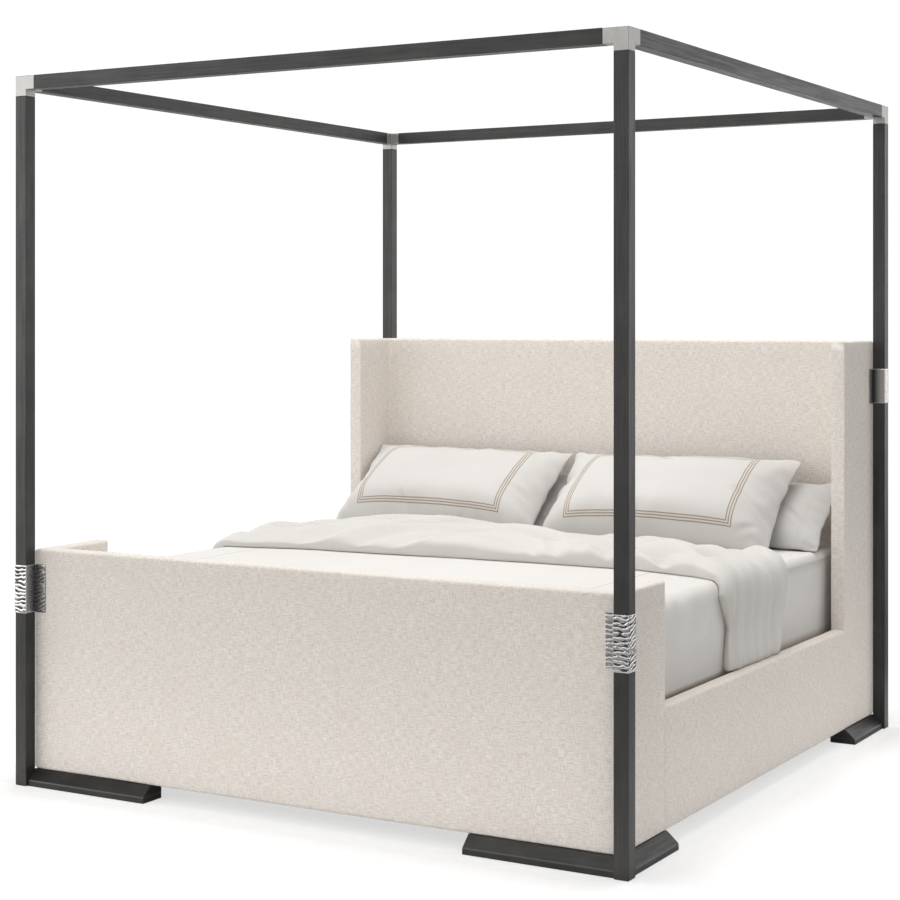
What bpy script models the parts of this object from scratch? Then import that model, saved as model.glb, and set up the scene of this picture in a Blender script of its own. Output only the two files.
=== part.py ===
"""King-size four poster canopy bed with an upholstered box and its loose bedding.

Metres, +Z up. The origin is on the floor under the middle of the bed, the head end is
towards +Y and the right-hand side, seen from the foot, is towards +X.
"""
import math

import bpy
import bmesh
import numpy as np
from mathutils import Vector

# Driving dimensions
WIDTH = 2.169             # across the posts' outer faces
LENGTH = 2.281            # along the posts' outer faces
HEIGHT = 2.286
POST = 0.0445             # posts and canopy rails are square
GAP = 0.0003              # left between pieces that touch
WOOD_EDGE = 0.0012        # eased edge of the dark timber

BRACKET_ARM = 0.033       # corner bracket, past the post's faces
BRACKET_LEG = 0.021       # corner bracket, under the canopy rails
BRACKET_EDGE = 0.0010

BASE_BOTTOM = 0.050       # underside of the upholstered box
FOOTBOARD_TOP = 0.760
HEADBOARD_TOP = 1.424
RAIL_TOP = 0.402
FOOTBOARD_THICK = 0.058
HEADBOARD_THICK = 0.098
WING_THICK = 0.050
FOOT_WING_REACH = 0.300   # from the footboard's outer face
HEAD_WING_REACH = 0.320   # from the headboard's outer face
PAD_EDGE = 0.008          # rounding of the padded edges

CLAMP_THICK = 0.0010
CLAMP_FLANGE = 0.044      # past the post, on each panel
CLAMP_FRONT = (0.556, 0.710)
CLAMP_BACK = (1.194, 1.320)

FOOT_BAR_INSET = 0.009    # outer face of a foot bar, behind the post's face
FOOT_BAR_DEPTH = 0.090
FOOT_BAR_LIP = 0.018      # height of the bar's upright outer face
FOOT_BAR_EDGE = 0.0025    # eased edge over that face
FOOT_BAR_ACROSS = 0.516   # reach of the bars under the ends, from the bed's corner
FOOT_BAR_ALONG = 0.358    # reach of the bars under the sides

SLAT_COUNT = 11
SLAT_WIDTH = 0.070
SLAT_THICK = 0.018
SLAT_TOP = 0.360
CLEAT = (0.025, 0.042)    # thickness and height
BEAM = (0.050, 0.070)     # width and height
BEAM_LEG = 0.045
BEAM_LEG_AT = 0.450       # each way from the middle
PLATE = (0.003, 0.090, 0.170)

MATTRESS = (1.930, 2.025)
MATTRESS_TOP = 0.680
MATTRESS_EDGE = 0.034
SHEET_THICK = 0.003
SHEET_DROP = 0.392        # lower edge of the top sheet's sides
SHEET_REACH = 1.110       # from the mattress's foot end
DUVET_DROP = 0.406        # lower edge, just over the side rails
DUVET_LIFT = 0.001        # between the sheet and the duvet
# Sections of the folded duvet: distance across the bed, over its top and down the side,
# then the front fold and the back edge along Y, and the thickness
DUVET_SECTIONS = (
    (-1.225, -0.190, 0.265, 0.036), (-1.100, -0.165, 0.305, 0.037), (-0.995, -0.215, 0.315, 0.038),
    (-0.880, -0.200, 0.400, 0.046), (-0.620, -0.140, 0.470, 0.062), (-0.300, -0.120, 0.480, 0.074),
    (0.000, -0.090, 0.480, 0.076), (0.340, -0.080, 0.470, 0.068), (0.620, -0.075, 0.445, 0.052),
    (0.860, -0.145, 0.405, 0.042), (0.995, -0.225, 0.315, 0.038), (1.100, -0.165, 0.305, 0.037),
    (1.225, -0.190, 0.265, 0.036),
)
# Outline of a section from front to back: share of its length, and share of its thickness
DUVET_OUTLINE = ((0.0, 0.30), (0.04, 0.72), (0.12, 0.88), (0.45, 0.98), (0.78, 1.0), (0.93, 0.80), (1.0, 0.35))

# Derived places
HALF_W = WIDTH / 2
HALF_L = LENGTH / 2
SETBACK = POST + GAP                  # padded faces, behind the posts' outer faces
BOX_X = HALF_W - SETBACK
BOX_Y = HALF_L - SETBACK
CANOPY_BOTTOM = HEIGHT - POST
INNER_X = BOX_X - WING_THICK          # inner faces of wings and side rails
FOOT_INNER = -BOX_Y + FOOTBOARD_THICK
HEAD_INNER = BOX_Y - HEADBOARD_THICK
FOOT_WING_END = -BOX_Y + FOOT_WING_REACH
HEAD_WING_END = BOX_Y - HEAD_WING_REACH
SLAT_BOTTOM = SLAT_TOP - SLAT_THICK
MATTRESS_FOOT = FOOT_INNER + 0.0035
MATTRESS_HEAD = MATTRESS_FOOT + MATTRESS[1]

SIDES = {"left": -1, "right": 1}
ENDS = {"front": -1, "back": 1}

# Colour, roughness, metallic
FINISHES = {
    "dark_wood": ((0.045, 0.043, 0.041), 0.45, 0.0),
    "nickel": ((0.55, 0.54, 0.52), 0.35, 1.0),
    "hammered_silver": ((0.72, 0.71, 0.69), 0.18, 1.0),
    "linen": ((0.69, 0.64, 0.59), 0.90, 0.0),
    "pine": ((0.62, 0.46, 0.28), 0.60, 0.0),
    "zinc_steel": ((0.50, 0.51, 0.52), 0.40, 1.0),
    "white_cotton": ((0.86, 0.85, 0.82), 0.85, 0.0),
}


def clear_scene():
    for item in list(bpy.data.objects):
        bpy.data.objects.remove(item, do_unlink=True)


def finish_material(name):
    material = bpy.data.materials.get(name)
    if material is None:
        colour, roughness, metallic = FINISHES[name]
        material = bpy.data.materials.new(name)
        material.use_nodes = True
        shader = material.node_tree.nodes["Principled BSDF"]
        shader.inputs["Base Color"].default_value = (*colour, 1.0)
        shader.inputs["Roughness"].default_value = roughness
        shader.inputs["Metallic"].default_value = metallic
    return material


def add_node(name, bm, finish, edge=0.0, segments=2, smooth=False):
    """One named piece from a closed mesh, with its sharp edges eased."""
    bmesh.ops.recalc_face_normals(bm, faces=bm.faces)
    mesh = bpy.data.meshes.new(name)
    bm.to_mesh(mesh)
    bm.free()
    piece = bpy.data.objects.new(name, mesh)
    bpy.context.scene.collection.objects.link(piece)
    mesh.materials.append(finish_material(finish))
    if edge:
        bevel = piece.modifiers.new("eased_edges", "BEVEL")
        bevel.width = edge
        bevel.segments = segments
        bevel.limit_method = "ANGLE"
        bevel.angle_limit = math.radians(30)
    if smooth:
        mesh.shade_smooth()
    return piece


def box(name, low, high, finish, edge=0.0, segments=2):
    bm = bmesh.new()
    bmesh.ops.create_cube(bm, size=1.0)
    low, high = Vector(low), Vector(high)
    for vert in bm.verts:
        for axis in range(3):
            middle = (low[axis] + high[axis]) / 2
            vert.co[axis] = middle + vert.co[axis] * (high[axis] - low[axis])
    return add_node(name, bm, finish, edge, segments)


def extrude_outline(name, points, push, finish, edge=0.0, segments=2):
    """A flat outline of 3-D points, pushed along a vector into a solid."""
    bm = bmesh.new()
    face = bm.faces.new([bm.verts.new(point) for point in points])
    moved = bmesh.ops.extrude_face_region(bm, geom=[face])["geom"]
    for item in moved:
        if isinstance(item, bmesh.types.BMVert):
            item.co += Vector(push)
    return add_node(name, bm, finish, edge, segments)


def corners():
    """Name and signs of each of the four corners."""
    for end, sign_y in ENDS.items():
        for side, sign_x in SIDES.items():
            yield f"{end}_{side}", sign_x, sign_y


def from_corner(sign_x, sign_y, u, v, z):
    """A point u inwards across the bed and v inwards along it from a corner."""
    return (sign_x * (HALF_W - u), sign_y * (HALF_L - v), z)


def span(a, b):
    return (min(a, b), max(a, b))


def make_posts():
    top = CANOPY_BOTTOM - BRACKET_LEG - GAP
    for corner, sign_x, sign_y in corners():
        x = span(sign_x * HALF_W, sign_x * (HALF_W - POST))
        y = span(sign_y * HALF_L, sign_y * (HALF_L - POST))
        box(f"post_{corner}", (x[0], y[0], 0), (x[1], y[1], top), "dark_wood", WOOD_EDGE, 1)


def make_corner_brackets():
    """Three-way brackets: an arm along each canopy rail and a short leg on the post."""
    arm = POST + BRACKET_ARM
    for corner, sign_x, sign_y in corners():
        grid = {}
        bm = bmesh.new()

        def vert(u, v, z):
            key = (u, v, z)
            if key not in grid:
                grid[key] = bm.verts.new(from_corner(sign_x, sign_y, u, v, z))
            return grid[key]

        leg_bottom = CANOPY_BOTTOM - BRACKET_LEG
        for z in (HEIGHT, CANOPY_BOTTOM):
            bm.faces.new([vert(POST, 0, z), vert(arm, 0, z), vert(arm, POST, z), vert(POST, POST, z)])
            bm.faces.new([vert(0, POST, z), vert(POST, POST, z), vert(POST, arm, z), vert(0, arm, z)])
        for z in (HEIGHT, leg_bottom):
            bm.faces.new([vert(0, 0, z), vert(POST, 0, z), vert(POST, POST, z), vert(0, POST, z)])
        ring = [(0, 0), (POST, 0), (arm, 0), (arm, POST), (POST, POST), (POST, arm), (0, arm), (0, POST)]
        for (u0, v0), (u1, v1) in zip(ring, ring[1:] + ring[:1]):
            low, high = CANOPY_BOTTOM, HEIGHT
            bm.faces.new([vert(u0, v0, low), vert(u1, v1, low), vert(u1, v1, high), vert(u0, v0, high)])
        square = [(0, 0), (POST, 0), (POST, POST), (0, POST)]
        for (u0, v0), (u1, v1) in zip(square, square[1:] + square[:1]):
            low, high = leg_bottom, CANOPY_BOTTOM
            bm.faces.new([vert(u0, v0, low), vert(u1, v1, low), vert(u1, v1, high), vert(u0, v0, high)])
        bmesh.ops.dissolve_limit(bm, angle_limit=0.01, verts=bm.verts, edges=bm.edges)
        add_node(f"corner_bracket_{corner}", bm, "nickel", BRACKET_EDGE, 1)


def make_canopy_rails():
    reach_x = HALF_W - POST - BRACKET_ARM - GAP
    reach_y = HALF_L - POST - BRACKET_ARM - GAP
    for end, sign in ENDS.items():
        y = span(sign * HALF_L, sign * (HALF_L - POST))
        box(f"canopy_rail_{end}", (-reach_x, y[0], CANOPY_BOTTOM), (reach_x, y[1], HEIGHT),
            "dark_wood", WOOD_EDGE, 1)
    for side, sign in SIDES.items():
        x = span(sign * HALF_W, sign * (HALF_W - POST))
        box(f"canopy_rail_{side}", (x[0], -reach_y, CANOPY_BOTTOM), (x[1], reach_y, HEIGHT),
            "dark_wood", WOOD_EDGE, 1)


def make_post_clamps():
    """Sheet straps that run round a post and out over both padded panels beside it."""
    far = POST + GAP
    face = SETBACK - GAP
    end = POST + CLAMP_FLANGE
    inner = [(end, face), (far, face), (far, -GAP), (-GAP, -GAP), (-GAP, far), (face, far), (face, end)]
    t = CLAMP_THICK
    outer = [(end, face - t), (far + t, face - t), (far + t, -GAP - t), (-GAP - t, -GAP - t),
             (-GAP - t, far + t), (face - t, far + t), (face - t, end)]
    outline = inner + outer[::-1]
    for corner, sign_x, sign_y in corners():
        low, high = CLAMP_FRONT if sign_y < 0 else CLAMP_BACK
        points = [from_corner(sign_x, sign_y, u, v, low) for u, v in outline]
        extrude_outline(f"post_clamp_{corner}", points, (0, 0, high - low), "hammered_silver")


def make_foot_bars():
    """Two lean-to bars per corner, mitred together behind the post."""
    top = BASE_BOTTOM - GAP
    back = FOOT_BAR_INSET + FOOT_BAR_DEPTH
    slope = Vector((SETBACK - FOOT_BAR_INSET, top - FOOT_BAR_LIP)).normalized() * FOOT_BAR_EDGE
    front = [(FOOT_BAR_INSET, 0), (FOOT_BAR_INSET, FOOT_BAR_LIP - FOOT_BAR_EDGE),
             (FOOT_BAR_INSET + slope.x, FOOT_BAR_LIP + slope.y), (SETBACK, top)]
    section = front + [(back, top), (back, 0)]
    last = len(front)
    for corner, sign_x, sign_y in corners():
        for way, reach in (("across", FOOT_BAR_ACROSS), ("along", FOOT_BAR_ALONG)):
            bm = bmesh.new()

            def vert(u, v, z, way=way):
                if way == "along":
                    u, v = v, u
                return bm.verts.new(from_corner(sign_x, sign_y, u, v, z))

            # The near end stops at the post, then follows the mitre behind it
            mitre = [max(v, POST) + GAP for v, _ in section]
            near = [vert(u, v, z) for u, (v, z) in zip(mitre, section)]
            far = [vert(reach, v, z) for v, z in section]
            # The foot of the mitre on the post's inner corner, low and high
            low, high = vert(POST + GAP, POST, 0), vert(POST + GAP, POST, top)
            bm.faces.new(far)
            bm.faces.new([*near[:last], high, low])
            bm.faces.new([low, high, near[last], near[last + 1]])
            for k in range(last - 1):
                bm.faces.new([near[k], near[k + 1], far[k + 1], far[k]])
            bm.faces.new([near[last - 1], high, near[last], far[last], far[last - 1]])
            bm.faces.new([near[last], near[last + 1], far[last + 1], far[last]])
            bm.faces.new([near[last + 1], low, near[0], far[0], far[last + 1]])
            add_node(f"foot_bar_{way}_{corner}", bm, "dark_wood")


def make_padded_box():
    """Footboard and headboard with their side wings, and the side rails between them."""
    box("footboard_panel", (-BOX_X, -BOX_Y, BASE_BOTTOM), (BOX_X, FOOT_INNER, FOOTBOARD_TOP),
        "linen", PAD_EDGE)
    box("headboard_panel", (-BOX_X, HEAD_INNER, BASE_BOTTOM), (BOX_X, BOX_Y, HEADBOARD_TOP),
        "linen", PAD_EDGE)
    runs = {
        "footboard_wing": (FOOT_INNER + GAP, FOOT_WING_END, FOOTBOARD_TOP),
        "side_rail": (FOOT_WING_END + GAP, HEAD_WING_END - GAP, RAIL_TOP),
        "headboard_wing": (HEAD_WING_END, HEAD_INNER - GAP, HEADBOARD_TOP),
    }
    for side, sign in SIDES.items():
        x = span(sign * BOX_X, sign * INNER_X)
        for name, (y0, y1, top) in runs.items():
            box(f"{name}_{side}", (x[0], y0, BASE_BOTTOM), (x[1], y1, top), "linen", PAD_EDGE)


def make_slat_base():
    """Cleats, splice plates, centre beam with two legs, and the slats across them."""
    cleat_x = INNER_X - GAP
    plate_low = BASE_BOTTOM + 0.060
    for side, sign in SIDES.items():
        x = span(sign * cleat_x, sign * (cleat_x - CLEAT[0]))
        box(f"slat_cleat_{side}", (x[0], FOOT_INNER + 0.010, SLAT_BOTTOM - GAP - CLEAT[1]),
            (x[1], HEAD_INNER - 0.010, SLAT_BOTTOM - GAP), "pine", 0.002, 1)
        for end, seam in (("front", FOOT_WING_END), ("back", HEAD_WING_END)):
            x = span(sign * cleat_x, sign * (cleat_x - PLATE[0]))
            box(f"splice_plate_{end}_{side}", (x[0], seam - PLATE[1] / 2, plate_low),
                (x[1], seam + PLATE[1] / 2, plate_low + PLATE[2]), "zinc_steel")
    beam_top = SLAT_BOTTOM - GAP
    beam_low = beam_top - BEAM[1]
    box("centre_beam", (-BEAM[0] / 2, FOOT_INNER + GAP, beam_low),
        (BEAM[0] / 2, HEAD_INNER - GAP, beam_top), "pine", 0.002, 1)
    half = BEAM_LEG / 2
    for end, sign in ENDS.items():
        y = sign * BEAM_LEG_AT
        box(f"beam_leg_{end}", (-half, y - half, 0), (half, y + half, beam_low - GAP), "pine", 0.002, 1)
    first = FOOT_INNER + 0.070 + SLAT_WIDTH / 2
    pitch = (HEAD_INNER - 0.070 - SLAT_WIDTH / 2 - first) / (SLAT_COUNT - 1)
    reach = cleat_x - 0.003
    for index in range(SLAT_COUNT):
        y = first + index * pitch
        box(f"slat_{index + 1:02d}", (-reach, y - SLAT_WIDTH / 2, SLAT_BOTTOM),
            (reach, y + SLAT_WIDTH / 2, SLAT_TOP), "pine", 0.002, 1)


def arch_point(run, half, top, radius):
    """Point and outward normal on an upside-down U, that far across it from the middle."""
    way = 1 if run >= 0 else -1
    run = abs(run)
    flat = half - radius
    quarter = radius * math.pi / 2
    if run <= flat:
        return (way * run, top), (0.0, 1.0)
    if run <= flat + quarter:
        angle = (run - flat) / radius
        x, z = math.sin(angle), math.cos(angle)
        return (way * (flat + radius * x), top - radius + radius * z), (way * x, z)
    return (way * half, top - radius - (run - flat - quarter)), (way * 1.0, 0.0)


def arch(half, top, drop, radius, steps=5):
    """Points of that U from its right hem to its left hem."""
    flat = half - radius
    quarter = radius * math.pi / 2
    hem = flat + quarter + top - radius - drop
    right = [hem] + [flat + quarter * step / steps for step in range(steps, -1, -1)]
    runs = right + [-run for run in right[::-1]]
    return [arch_point(run, half, top, radius)[0] for run in runs]


def make_mattress_and_covers():
    half = MATTRESS[0] / 2
    box("mattress", (-half, MATTRESS_FOOT, SLAT_TOP + GAP), (half, MATTRESS_HEAD, MATTRESS_TOP),
        "white_cotton", MATTRESS_EDGE, 3)
    under = (half + GAP, MATTRESS_TOP + GAP)
    over = (under[0] + SHEET_THICK, under[1] + SHEET_THICK)
    radius = MATTRESS_EDGE - 0.004
    inner = arch(*under, SHEET_DROP, radius)
    outer = arch(*over, SHEET_DROP, radius + SHEET_THICK)
    y0 = MATTRESS_FOOT + 0.001
    points = [(x, y0, z) for x, z in outer + inner[::-1]]
    extrude_outline("top_sheet", points, (0, MATTRESS_FOOT + SHEET_REACH - y0, 0), "white_cotton")
    make_duvet(over[0] + DUVET_LIFT, over[1] + DUVET_LIFT, radius + SHEET_THICK)


def make_duvet(half, top, radius):
    """A duvet folded back in a band across the bed, down over both of its sides."""
    table = np.array(DUVET_SECTIONS)
    flat = half - radius
    quarter = radius * math.pi / 2
    hem = flat + quarter + top - radius - DUVET_DROP
    turn = [flat + quarter * step / 3 for step in range(4)]
    runs = [hem, hem - 0.100, *turn[::-1], 0.800, 0.600, 0.400, 0.200]
    runs = runs + [0.0] + [-run for run in runs[::-1]]
    bm = bmesh.new()
    under, over = [], []
    for run in runs:
        front, back, thick = (float(np.interp(run, table[:, 0], table[:, k])) for k in (1, 2, 3))
        (x, z), (nx, nz) = arch_point(run, half, top, radius)
        lower, upper = [], []
        for along, share in DUVET_OUTLINE:
            y = front + (back - front) * along
            lower.append(bm.verts.new((x, y, z)))
            upper.append(bm.verts.new((x + nx * thick * share, y, z + nz * thick * share)))
        under.append(lower)
        over.append(upper)
    last = len(DUVET_OUTLINE) - 1
    for i in range(len(runs) - 1):
        for j in range(last):
            bm.faces.new([over[i][j], over[i][j + 1], over[i + 1][j + 1], over[i + 1][j]])
            bm.faces.new([under[i][j], under[i + 1][j], under[i + 1][j + 1], under[i][j + 1]])
        bm.faces.new([under[i][0], over[i][0], over[i + 1][0], under[i + 1][0]])
        bm.faces.new([under[i][last], under[i + 1][last], over[i + 1][last], over[i][last]])
    for i in (0, -1):
        bm.faces.new([*under[i], *over[i][::-1]])
    add_node("duvet", bm, "white_cotton", smooth=True)


def pillow(name, centre_x, width, foot, head, front, back):
    """A filled case leaning between two seam lines, given as (y, z) at its foot and head.

    It swells by front and back from the plane through its seams, and its sides draw in
    between the corners.
    """
    foot, head = Vector((0, *foot)), Vector((0, *head))
    slope = head - foot
    height = slope.length
    slope.normalize()
    normal = Vector((0, -slope.z, slope.y))
    rim = 0.004
    columns, rows = 14, 8
    bm = bmesh.new()

    def place(i, j, depth):
        a, b = 2 * i / columns - 1, 2 * j / rows - 1
        swell = (1 - abs(a) ** 3) ** 0.6 * (1 - abs(b) ** 2.4) ** 0.6
        x = centre_x + a * width / 2 * (1 - 0.025 * (1 - b * b))
        along = foot + slope * height * (0.5 + b / 2 * (1 - 0.05 * (1 - a * a)))
        lift = (rim + abs(depth) * swell) * (1 if depth > 0 else -1)
        return bm.verts.new(Vector((x, 0, 0)) + along + normal * lift)

    skins = [[[place(i, j, depth) for j in range(rows + 1)] for i in range(columns + 1)]
             for depth in (front, -back)]
    for skin in skins:
        for i in range(columns):
            for j in range(rows):
                bm.faces.new([skin[i][j], skin[i + 1][j], skin[i + 1][j + 1], skin[i][j + 1]])
    edge = [(i, 0) for i in range(columns)] + [(columns, j) for j in range(rows)]
    edge += [(i, rows) for i in range(columns, 0, -1)] + [(0, j) for j in range(rows, 0, -1)]
    for (i0, j0), (i1, j1) in zip(edge, edge[1:] + edge[:1]):
        bm.faces.new([skins[0][i0][j0], skins[0][i1][j1], skins[1][i1][j1], skins[1][i0][j0]])
    return add_node(name, bm, "white_cotton", smooth=True)


def make_pillows():
    for side, centre, width in (("left", -0.530, 0.876), ("right", 0.520, 0.900)):
        pillow(f"pillow_{side}", centre, width, (0.688, 0.694), (0.970, 0.926), 0.034, 0.076)
    pillow("sham_left", -0.545, 0.880, (0.542, 0.695), (0.928, 0.990), 0.100, 0.032)
    pillow("sham_right", 0.377, 0.916, (0.530, 0.690), (0.905, 0.998), 0.100, 0.034)


def main():
    clear_scene()
    make_posts()
    make_corner_brackets()
    make_canopy_rails()
    make_post_clamps()
    make_foot_bars()
    make_padded_box()
    make_slat_base()
    make_mattress_and_covers()
    make_pillows()


main()
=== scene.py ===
"""Looks of the four poster canopy bed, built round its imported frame."""
import math

import bmesh
import bpy
import numpy as np
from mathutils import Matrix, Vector, noise
from mathutils.bvhtree import BVHTree


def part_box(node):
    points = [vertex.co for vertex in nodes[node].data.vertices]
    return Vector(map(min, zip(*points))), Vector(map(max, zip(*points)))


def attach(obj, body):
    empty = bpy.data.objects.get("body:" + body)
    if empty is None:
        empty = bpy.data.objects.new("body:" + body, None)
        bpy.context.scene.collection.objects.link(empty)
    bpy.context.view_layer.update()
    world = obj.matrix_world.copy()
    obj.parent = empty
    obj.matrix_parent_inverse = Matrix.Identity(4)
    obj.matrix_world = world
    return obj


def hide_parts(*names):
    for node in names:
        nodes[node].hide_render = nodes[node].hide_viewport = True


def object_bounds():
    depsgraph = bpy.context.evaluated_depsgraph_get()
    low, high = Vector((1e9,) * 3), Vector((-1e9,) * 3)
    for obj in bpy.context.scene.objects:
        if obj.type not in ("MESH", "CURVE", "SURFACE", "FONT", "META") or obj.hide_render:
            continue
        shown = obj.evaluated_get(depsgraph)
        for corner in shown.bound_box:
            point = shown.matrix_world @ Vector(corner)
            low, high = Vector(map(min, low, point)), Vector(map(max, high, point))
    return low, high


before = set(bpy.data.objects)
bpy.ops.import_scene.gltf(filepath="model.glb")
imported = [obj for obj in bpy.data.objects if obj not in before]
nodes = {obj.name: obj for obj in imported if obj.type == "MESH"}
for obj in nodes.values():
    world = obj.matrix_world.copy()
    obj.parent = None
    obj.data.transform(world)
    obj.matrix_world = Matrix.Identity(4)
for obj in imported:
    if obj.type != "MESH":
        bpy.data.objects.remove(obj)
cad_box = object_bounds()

X, Y, Z = 0, 1, 2


# ---------------------------------------------------------------- node materials

class Value:
    """A socket in a shader expression: arithmetic on it adds Math nodes."""

    def __init__(self, finish, socket):
        self.finish = finish
        self.socket = socket

    def math(self, operation, *terms):
        return self.finish.node("ShaderNodeMath", {"operation": operation}, dict(enumerate(terms)))

    def __add__(self, other):
        return self.math("ADD", self, other)

    __radd__ = __add__

    def __sub__(self, other):
        return self.math("SUBTRACT", self, other)

    def __rsub__(self, other):
        return self.math("SUBTRACT", other, self)

    def __mul__(self, other):
        return self.math("MULTIPLY", self, other)

    __rmul__ = __mul__

    def __abs__(self):
        return self.math("ABSOLUTE", self)

    def sine(self):
        return self.math("SINE", self)

    def at_least(self, other):
        return self.math("MAXIMUM", self, other)

    def rise(self, low, high):
        """0 below low and 1 above high, with a smooth step between."""
        inputs = {"Value": self, "From Min": low, "From Max": high}
        return self.finish.node("ShaderNodeMapRange", {"interpolation_type": "SMOOTHSTEP"}, inputs)

    def line(self, centre, half):
        """1 on a line of that half width, with soft edges."""
        return 1 - abs(self - centre).rise(half * 0.6, half * 1.4)


class Finish:
    """A node material round one Principled shader, whose constants go straight on it."""

    def __init__(self, name, **constants):
        self.material = bpy.data.materials.new(name)
        self.material.use_nodes = True
        self.tree = self.material.node_tree
        self.shader = self.tree.nodes["Principled BSDF"]
        for socket, value in constants.items():
            self.shader.inputs[socket.replace("_", " ")].default_value = value

    def node(self, kind, settings=None, inputs=None, output=0):
        made = self.tree.nodes.new(kind)
        for key, value in (settings or {}).items():
            setattr(made, key, value)
        for key, value in (inputs or {}).items():
            if isinstance(value, Value):
                self.tree.links.new(value.socket, made.inputs[key])
            else:
                made.inputs[key].default_value = value
        return Value(self, made.outputs[output])

    def place(self, output="Object"):
        return self.node("ShaderNodeTexCoord", output=output)

    def parts(self, vector):
        return [self.node("ShaderNodeSeparateXYZ", inputs={0: vector}, output=k) for k in range(3)]

    def stretched(self, vector, scale):
        return self.node("ShaderNodeVectorMath", {"operation": "MULTIPLY"}, {0: vector, 1: scale})

    def noise(self, vector, scale, detail=2.0, roughness=0.5):
        inputs = {"Vector": vector, "Scale": scale, "Detail": detail, "Roughness": roughness}
        return self.node("ShaderNodeTexNoise", inputs=inputs)

    def blend(self, factor, low, high):
        """From colour low to colour high; either may be a colour or a Value."""
        low, high = [c if isinstance(c, Value) else (*c, 1.0) for c in (low, high)]
        settings = {"data_type": "RGBA", "clamp_factor": True}
        return self.node("ShaderNodeMix", settings, {0: factor, 6: low, 7: high}, output=2)

    def see_through(self, share):
        """Lets what lies behind show by that share."""
        shaded = Value(self, self.shader.outputs[0])
        clear = self.node("ShaderNodeBsdfTransparent")
        mix = self.node("ShaderNodeMixShader", inputs={0: share, 1: shaded, 2: clear})
        self.tree.links.new(mix.socket, self.tree.nodes["Material Output"].inputs[0])

    def wear(self, colour, roughness, height, depth, strength):
        """Feeds what varies over the surface into the shader, the height as a bump of that depth."""
        inputs = {"Strength": strength, "Distance": depth, "Height": height}
        normal = self.node("ShaderNodeBump", inputs=inputs)
        for name, value in (("Normal", normal), ("Base Color", colour), ("Roughness", roughness)):
            self.tree.links.new(value.socket, self.shader.inputs[name])
        return self.material


FOOT_BAR_LIP = 0.018      # height of the edge where a foot bar's slope begins
HIGHLIGHT_HALF = 0.0016        # half the width of the painted highlight line there


def charcoal_oak(name, along, highlight_height=None, tone=1.0):
    """Dark stained oak, brushed so that fine pale and dark streaks run along the grain.

    The height given third is where a painted highlight runs along an edge, and a tone below 1 darkens the
    stain.
    """
    finish = Finish(name, Specular_IOR_Level=0.55)
    place = finish.place()

    def grain(across, lengthwise, detail):
        scale = [across] * 3
        scale[along] = lengthwise
        return finish.noise(finish.stretched(place, scale), 1.0, detail, 0.6)

    fine, streak, band = grain(620.0, 6.0, 3.0), grain(170.0, 4.5, 4.0), grain(48.0, 2.2, 3.0)
    mix = fine.rise(0.25, 0.80) * 0.30 + streak.rise(0.34, 0.66) * 0.45 + band.rise(0.3, 0.7) * 0.25
    dark = [part * tone for part in (0.0070, 0.0066, 0.0060)]
    light = [part * tone for part in (0.0250, 0.0235, 0.0216)]
    wood = finish.blend(mix, dark, light)
    # Paler rubbed patches at random, and at the given height a painted highlight line along the edge.
    wear_and_highlight = finish.noise(place, 9.0, 4.0).rise(0.35, 0.75) * 0.35
    if highlight_height:
        _, _, z = finish.parts(place)
        wear_and_highlight = wear_and_highlight + z.line(highlight_height, HIGHLIGHT_HALF) * (0.8 + streak * 0.4)
    wood_wear_and_highlight = finish.blend(wear_and_highlight, wood, (0.052, 0.049, 0.046))
    gloss = 0.50 - streak.rise(0.3, 0.7) * 0.14 + band * 0.04
    return finish.wear(wood_wear_and_highlight, gloss, fine * 0.3 + streak.rise(0.30, 0.60) * 0.7, 0.0005, 0.6)


def satin_nickel():
    """Cast corner brackets, bead blasted and plated."""
    finish = Finish("satin_nickel", Metallic=1.0)
    place = finish.place()
    grain = finish.noise(place, 900.0, 2.0)
    cloud = finish.noise(place, 30.0, 4.0)
    colour = finish.blend(cloud.rise(0.3, 0.7), (0.385, 0.376, 0.362), (0.440, 0.431, 0.416))
    return finish.wear(colour, 0.36 + cloud * 0.14 + grain * 0.05, grain * 0.5 + cloud, 0.0003, 0.25)


def hammered_silver():
    """Polished ridges over dark, oxidised grooves; the relief's height is in the mesh."""
    finish = Finish("hammered_silver", Metallic=1.0)
    place = finish.place()
    height = finish.node("ShaderNodeAttribute", {"attribute_name": "relief"}, output="Fac")
    tarnish_and_shade = finish.node("ShaderNodeAttribute", {"attribute_name": "tarnish_and_shade"}, output="Fac")
    tarnish = finish.noise(place, 130.0, 4.0, 0.6)
    shine = (height + (tarnish - 0.5) * 0.30).rise(0.22, 0.72)
    bright = finish.blend(shine, (0.075, 0.072, 0.070), (0.70, 0.69, 0.68))
    # The darkness per point mixes tarnish with painted shade in the clamps' recesses.
    colour = finish.blend(tarnish_and_shade, bright, (0.030, 0.028, 0.026))
    return finish.wear(colour, 0.40 - shine * 0.17 + tarnish * 0.06, tarnish, 0.0004, 0.3)


def slubs(finish, u_v, size, length=0.10):
    """Threads with thick and thin stretches, about 0 to 1: those across and those upright."""
    across = finish.noise(finish.stretched(u_v, (length, 1.0, 1.0)), 1 / size, 3.0, 0.65)
    upright = finish.noise(finish.stretched(u_v, (1.0, length, 1.0)), 1 / size, 3.0, 0.65)
    return across, upright


def threads(finish, u_v, pitch):
    """A plain weave: the two sets of threads as crossed waves."""
    u, v, _ = finish.parts(u_v)
    turn = 2 * math.pi / pitch
    return (u * turn).sine() * (v * turn).sine()


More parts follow.
